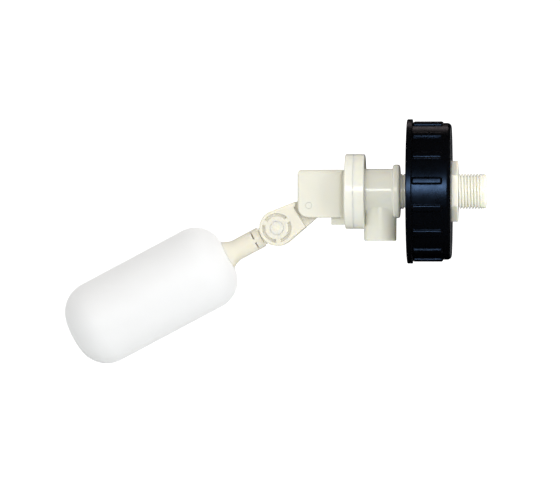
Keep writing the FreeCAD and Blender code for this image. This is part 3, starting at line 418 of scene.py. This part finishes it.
def make_body():
    low, high = corners_of("valve_body")
    seam, end, flange, outlet_end = low.x, high.x, high.z, low.z
    collar, barrel, chamber, mouth, rim = 16.1, 13.5, 11.0, 13.2, 16.2
    flange_right, collar_left = seam + 6.7, seam + 23.3
    inlet, strainer, nozzle = 6.5, 6.2, 5
    strainer_end, nozzle_step, chamber_end = 4, -26, -30
    across = mount["outlet_spigot"]["pos_m"][0] / MM
    spigot, bore = (mount[name]["dims"]["r_mm"] for name in ("outlet_spigot", "outlet_bore"))
    lead = MAJOR - 0.25
    points = rounded([
        (seam, rim), (seam, flange, 0.15), (flange_right, flange, 0.8), (flange_right, barrel, 0.7),
        (collar_left, barrel, 0.7), (collar_left, collar, 1.5), (THREAD_LEFT, collar, 1.5),
        (THREAD_LEFT, MAJOR, 0.4), (THREAD_RIGHT, MAJOR), (THREAD_RIGHT + 0.4, lead),
        (end, lead, 1.5), (end, inlet, 0.35), (strainer_end, inlet), (strainer_end, strainer),
        (nozzle_step, strainer), (nozzle_step, nozzle), (chamber_end, nozzle), (chamber_end, chamber, 0.8),
        (seam + 5.2, chamber), (seam + 3, mouth), (seam + 1, mouth), (seam + 1, rim),
    ], 6)
    outer_run = divided(points, THREAD_LEFT + 0.3, THREAD_RIGHT + 0.1, 0.13)
    points = [p for p in outer_run if p.y > 9 or any((p - q).length < 1e-6 for q in points)]

    def surface(along, angle, out):
        if abs(out - MAJOR) < 0.02 and THREAD_LEFT + 0.4 < along <= THREAD_RIGHT:
            return shank_radius(along, angle)
        return out

    body = new_piece("valve_moulding", turned(points, even(96), surface), "ivory", None)
    sides = even(72)
    saddle = [(spigot + 0.1, 0.55), (spigot + 0.13, 0.3), (spigot + 0.2, 0.13), (spigot + 0.32, 0.04),
              (spigot + 0.5, -0.04)]
    wall = rounded([(outlet_end, 0), (outlet_end, spigot, 0.8), (outlet_end + 8, spigot)], 5)[1:-1]

    def seated(r, on, drop):
        """A ring of the spigot that lies on a cylinder round the barrel's axis, lowered by drop."""
        return [(r * math.cos(a), r * math.sin(a), -math.sqrt(on ** 2 - (r * math.sin(a)) ** 2) - drop)
                for a in sides]

    rings = [[(r * math.cos(a), r * math.sin(a), z) for a in sides] for z, r in wall]
    rings += [seated(r, barrel, drop) for r, drop in saddle]
    rings += [seated(r, 12.3, 0) for r in (spigot + 0.6, 6, 2)]
    work = bmesh.new()
    made = [[work.verts.new((across + x, y, z)) for x, y, z in ring] for ring in rings]
    for lower, upper in zip(made, made[1:]):
        for i in range(len(sides)):
            j = (i + 1) % len(sides)
            work.faces.new((lower[i], lower[j], upper[j], upper[i]))
    work.faces.new(made[0][::-1])
    work.faces.new(made[-1])
    tube = new_piece("spigot_tool", work, "ivory", None)
    down = Matrix.Translation((across, 0, 0)) @ Matrix.Rotation(math.radians(90), 4, "Y")
    outline = [Vector(p) for p in (
        (6.5, 0), (6.5, bore), (-outlet_end - 0.45, bore), (-outlet_end - 0.1, bore + 0.2),
        (-outlet_end + 0.5, bore + 0.8), (-outlet_end + 0.5, 0),
    )]
    drill = new_piece("bore_tool", turned(outline, even(64), None, down), "ivory", None)
    carved(body, ("UNION", tube), ("DIFFERENCE", drill))
    smooth(body.data, 30)
    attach(body, "valve")
    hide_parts("valve_body")


def make_nut(name, node):
    low, high = corners_of(node)
    left, right, corner_radius = low.x, high.x, high.z
    slant, pace, quarter = math.cos(math.radians(30)), math.radians(60), math.radians(90)
    soft = 1.0
    centre = corner_radius + 0.15 - soft / slant
    reach = math.atan2(soft * 0.5, centre + soft * slant)
    flat = centre * slant + soft
    near = [reach * k for k in (-1.0, -0.66, -0.33, 0, 0.33, 0.66, 1.0)]
    far = [reach + (pace - 2 * reach) * k / 8 for k in range(1, 8)]
    angles = [quarter + pace * k + offset for k in range(6) for offset in near + far]
    bore = MAJOR + 0.12

    def hexagon(angle):
        off = (angle - quarter + pace / 2) % pace - pace / 2
        if abs(off) < reach:
            return centre * math.cos(off) + math.sqrt(soft ** 2 - (centre * math.sin(off)) ** 2)
        return flat / math.cos(pace / 2 - abs(off))

    def surface(along, angle, out):
        if out < bore + 0.3:
            gap = out - MAJOR
            return shank_radius(along, angle) + gap if left + 0.2 < along < right - 0.2 else out
        inset = flat - out
        return min(hexagon(angle) - inset, corner_radius + 0.1 - 2.2 * inset)

    points = rounded([
        (left, bore + 0.25), (left, flat, 0.35), (right, flat, 0.7), (right, bore + 0.25, 0.2),
        (right - 0.25, bore), (left + 0.25, bore),
    ], 5)
    dense = divided(points, left, right, 0.15)
    points = [p for p in dense if p.y < bore + 0.3 or any((p - q).length < 1e-6 for q in points)]
    piece = new_piece(name, turned(points, angles, surface), "ivory", "valve", 25)
    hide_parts(node)


def make_housing():
    low, high = corners_of("lever_housing")
    left, seam, flange = low.x, high.x, high.z
    face, right, top, bottom, half = seam - 5.1, seam - 6.3, 13.0, -15.6, 10.0
    cheek, roof, wall = 7.4, 10.2, seam - 13.5
    mouth, rim_seat, guide = 13.2, 16.2, 3.06
    screw_head, screw_depth, screw_hole, washer = 2.7, 2, 1.5, 2.5

    def tool(name, work):
        return new_piece(name, work, "ivory_cover", None)

    side = rounded([(left, bottom, 7.0), (right, bottom, 0.4), (right, top, 0.4), (left, top, 2.5)], 10)
    plan = rounded([(left, -half, 1.4), (right, -half, 3.2), (right, half, 3.2), (left, half, 1.4)], 7)
    section = box_outline(-half, half, bottom, top, 0.7, 4.6, 9)
    housing = tool("housing_moulding", prism(side, "Y", -half - 1, half + 1))
    rim = rounded([(face, 0), (face, flange, 0.8), (seam, flange, 0.15), (seam, 0)], 6)
    neck = box_outline(-8.0, 8.0, bottom + 0.1, top - 0.1, 0.4, 3.2)
    tab = box_outline(-4.0, 4.0, bottom - 4.4, bottom + 1.2, 0.6, 0)
    recess = [Vector(p) for p in (
        (seam + 1, 0), (seam + 1, rim_seat), (seam - 1, rim_seat), (seam - 1, mouth), (seam - 4, mouth),
        (seam - 4, guide), (wall - 2, guide), (wall - 2, 0),
    )]
    pin_low, pin_high = corners_of("pivot_pin")
    hole = (pin_low + pin_high) / 2
    radius = (pin_high.x - pin_low.x) / 2
    eye = [(hole.x + radius * math.cos(a), hole.z + radius * math.sin(a)) for a in even(48)]
    inside = box_outline(-cheek, cheek, bottom - 6, roof, 0, 1.0)
    steps = [
        ("INTERSECT", tool("plan_tool", prism(plan, "Z", bottom - 1, top + 1))),
        ("INTERSECT", tool("section_tool", prism(section, "X", left - 1, right + 1))),
        ("UNION", tool("neck_tool", prism(neck, "X", right - 1.5, face + 1))),
        ("UNION", tool("rim_tool", turned(rim, even(128)))),
        ("UNION", tool("tab_tool", prism(tab, "X", wall - 0.2, face + 1))),
        ("DIFFERENCE", tool("inside_tool", prism(inside, "X", left - 2, wall))),
        ("DIFFERENCE", tool("recess_tool", turned(recess, even(64)))),
        ("DIFFERENCE", tool("eye_tool", prism(eye, "Y", -half - 2, half + 2))),
    ]
    reach = corners_of("cover_screws")[1].z - washer
    seat = [Vector(p) for p in (
        (face - 1, 0), (face - 1, screw_head), (face + screw_depth, screw_head),
        (face + screw_depth, screw_hole), (seam + 1, screw_hole), (seam + 1, 0),
    )]
    for index, (y, z) in enumerate([(1, 1), (1, -1), (-1, -1), (-1, 1)]):
        place = Matrix.Translation((0, y * reach, z * reach))
        steps.append(("DIFFERENCE", tool(f"seat_tool_{index}", turned(seat, even(32), None, place))))
    carved(housing, *steps)
    smooth(housing.data, 28)
    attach(housing, "valve")
    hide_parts("lever_housing")


def arm_frame():
    """Matrix whose X axis runs from the elbow along the middle of the float."""
    elbow = Vector(joint["elbow"]["pos_m"]) / MM
    low, high = corners_of("float_shell")
    along = ((low + high) / 2 - elbow).normalized()
    across = Vector((0, 1, 0))
    up = along.cross(across)
    matrix = Matrix.Identity(4)
    for column, axis in enumerate((along, across, up)):
        for row in range(3):
            matrix[row][column] = axis[row]
    return Matrix.Translation(elbow) @ matrix


def make_float():
    near, length, radius, wall = 34.2, 105.0, 25.8, 1.8
    far = near + length
    inner = radius - wall
    socket, socket_wall, socket_end = 7.5, 9.3, 46.5
    dimple, dimple_floor, dimple_depth = 4.2, 3.4, 0.5
    points = rounded([
        (near, socket), (near, radius, 17.5), (far, radius, 19), (far, dimple, 2.5),
        (far - dimple_depth, dimple_floor, 0.8), (far - dimple_depth, 0), (far - wall, 0),
        (far - wall, inner, 17), (near + wall, inner, 17), (near + wall, socket_wall, 0.6),
        (socket_end, socket_wall), (socket_end, socket),
    ], 14)
    points = divided(points, near, far, 6)
    seam_height, seam_half = 0.07, 0.45
    strip = [k / radius for k in (-0.9, -0.45, -0.22, 0, 0.22, 0.45, 0.9)]
    broad = [math.radians(2) + math.radians(176) * k / 44 for k in range(1, 44)]
    seams = (math.radians(90), math.radians(270))
    angles = [base + offset for base in seams for offset in strip + broad]

    def surface(along, angle, out):
        if out <= inner + 0.01:
            return out
        off = min(abs((angle - base + math.pi) % (2 * math.pi) - math.pi) for base in seams) * radius
        pinch = seam_height * ease((seam_half - off) / seam_half)
        settle = 0.06 * math.sin(math.pi * (along - near) / length) * math.cos(2 * angle)
        return out + pinch - seam_height + settle - 0.03

    work = turned(points, angles, surface, arm_frame())
    piece = new_piece("float_moulding", work, "float", "float_arm", 50)
    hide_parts("float_shell")


def make_stem():
    step, radius, flare, end = 11.1, 6.3, 8.65, 34.2
    plug, groove, groove_left, groove_right, plug_end = 7.4, 6, 38.2, 40.2, 46
    cheek_half, cheek_radius, neck_half, eye = 4.4, 10.2, 5.25, 3.06
    slit_left, slit_right = 15.0, 15.9
    swell = [(26.5 + (end - 26.9) * k / 14, radius + (flare - radius) * (k / 14) ** 2.3) for k in range(15)]
    outline = rounded([
        (step, 0), (step, radius, 0.5), *swell, (end, flare, 0.25), (end, plug), (groove_left, plug),
        (groove_left, groove), (groove_right, groove), (groove_right, plug), (plug_end - 1.5, plug),
        (plug_end, plug - 1, 0.3), (plug_end, 0),
    ], 6)
    place = arm_frame()

    def tool(name, work, moved=True):
        if moved:
            work.transform(place)
        return new_piece(name, work, "ivory_lever", None)

    stem = new_piece("stem_moulding", turned(outline, even(72), None, place), "ivory_lever", None)
    cheek = rounded([(-cheek_half, 0), (-cheek_half, cheek_radius, 0.6), (cheek_half, cheek_radius, 0.6),
                     (cheek_half, 0)], 5)
    upright = Matrix.Rotation(math.radians(90), 4, "Z")
    neck = prism(box_outline(-cheek_half, cheek_half, -neck_half, neck_half, 0.5, 0.5), "X", 2, step + 1)
    bore = turned([Vector(p) for p in ((-6, 0), (-6, eye), (6, eye), (6, 0))], even(48), None, upright)
    steps = [("UNION", tool("tongue_tool", turned(cheek, even(96), None, upright))),
             ("UNION", tool("neck_tool", neck)),
             ("DIFFERENCE", tool("eye_tool", bore))]
    for side in (-1, 1):
        for index, (low, high) in enumerate(((-7, -0.6), (1.7, 7))):
            outline = [(slit_left, low), (slit_right, low), (slit_right, high), (slit_left, high)]
            slit = prism(outline, "Y", *sorted((2 * side, 7 * side)))
            steps.append(("DIFFERENCE", tool(f"slit_tool_{side}_{index}", slit)))
    carved(stem, *steps)
    smooth(stem.data, 30)
    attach(stem, "float_arm")
    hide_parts("float_stem")


make_body()
make_housing()
make_stem()
make_nut("outer_nut_moulding", "outer_lock_nut")
make_nut("inner_nut_moulding", "inner_lock_nut")
make_float()

# ---------------------------------------------------------------- stage, light and camera

middle = (cad_low + cad_high) / 2


def cove():
    """A round floor that sweeps up into a wall on all sides, far outside every view's camera."""
    floor_z, radius, sweep, top = cad_low.z - 0.16, 5.0, 1.6, 5.0
    outline = [(0.0, floor_z), (1.0, floor_z)]
    for step in range(13):
        turn = math.radians(90 * step / 12)
        outline.append((radius - sweep + sweep * math.sin(turn), floor_z + sweep - sweep * math.cos(turn)))
    outline.append((radius, floor_z + top))
    mesh = bpy.data.meshes.new("floor")
    work = bmesh.new()
    angles = even(96)
    rings = [[work.verts.new((middle.x + r * math.cos(a), r * math.sin(a), z)) for a in angles]
             for r, z in outline[1:]]
    centre = work.verts.new((middle.x, 0, floor_z))
    for i in range(len(angles)):
        j = (i + 1) % len(angles)
        work.faces.new((centre, rings[0][i], rings[0][j]))
        for inner, outer in zip(rings, rings[1:]):
            work.faces.new((inner[i], outer[i], outer[j], inner[j]))
    work.to_mesh(mesh)
    work.free()
    mesh.shade_smooth()
    piece = bpy.data.objects.new("floor", mesh)
    bpy.context.scene.collection.objects.link(piece)
    mesh.materials.append(moulded("floor", (0.9, 0.9, 0.9), 0.9, tint=0.004, grain=40, depth=0.2, flow=0.6,
                                  Emission_Color=(1, 1, 1, 1), Emission_Strength=0.62))
    piece.visible_diffuse = False
    piece.visible_glossy = False
    piece.visible_transmission = False


def softbox(name, place, aim, wide, tall, watts, colour=(1, 1, 1), mirrored=True):
    data = bpy.data.lights.new(name, "AREA")
    data.shape = "RECTANGLE"
    data.size, data.size_y, data.energy, data.color = wide, tall, watts, colour
    lamp = bpy.data.objects.new(name, data)
    lamp.location = place
    lamp.rotation_euler = (aim - place).to_track_quat("-Z", "Y").to_euler()
    lamp.visible_glossy = mirrored
    lamp.visible_camera = False
    bpy.context.scene.collection.objects.link(lamp)


def around(azimuth, elevation, distance):
    """A point that way from the object's middle; azimuth 0 is in front, 90 to the right."""
    a, e = math.radians(azimuth), math.radians(elevation)
    return middle + distance * Vector((math.sin(a) * math.cos(e), -math.cos(a) * math.cos(e), math.sin(e)))


cove()
softbox("key", around(2, 8.5, 1.7), middle, 0.5, 0.4, 4.9)
softbox("back", around(180, 48, 1.7), middle, 0.9, 0.3, 0.7, (1, 0.8, 0.72))
softbox("rim", around(150, 0, 1.8), middle, 0.5, 1.2, 1.0)
softbox("front", around(12, 6, 1.9), middle, 2.4, 2.2, 9.8, mirrored=False)
softbox("right", around(62, 8, 1.0), Vector((cad_high.x, 0, 0)), 0.5, 0.8, 5.0, mirrored=False)
softbox("left", around(-60, -20, 1.8), middle, 1.0, 1.0, 4, (0.9, 1, 0.9), mirrored=False)
softbox("below", around(-10, -65, 1.4), middle, 1.4, 1.0, 5.8, (0.88, 1, 0.91), mirrored=False)
softbox("above", around(0, 75, 1.8), middle, 1.4, 1.0, 3.4, (1, 0.89, 0.72), mirrored=False)

scene = bpy.context.scene
scene.world = bpy.data.worlds.new("studio")
scene.world.use_nodes = True
backdrop = scene.world.node_tree.nodes["Background"]
backdrop.inputs["Color"].default_value = (1, 1, 1, 1)
backdrop.inputs["Strength"].default_value = 0.72
scene.world.cycles_visibility.glossy = False
scene.view_settings.view_transform = "Standard"

camera_data = bpy.data.cameras.new("camera")
camera_data.lens = 224
camera_data.sensor_width = 36
camera = bpy.data.objects.new("camera", camera_data)
target = middle + Vector((0.003, 0, -0.0062))
yaw = math.radians(3.9)
camera.location = target + 2.09 * Vector((math.sin(yaw), -math.cos(yaw), 0))
camera.rotation_euler = (target - camera.location).to_track_quat("-Z", "Y").to_euler()
camera_data.clip_end = 30
scene.collection.objects.link(camera)
scene.camera = camera
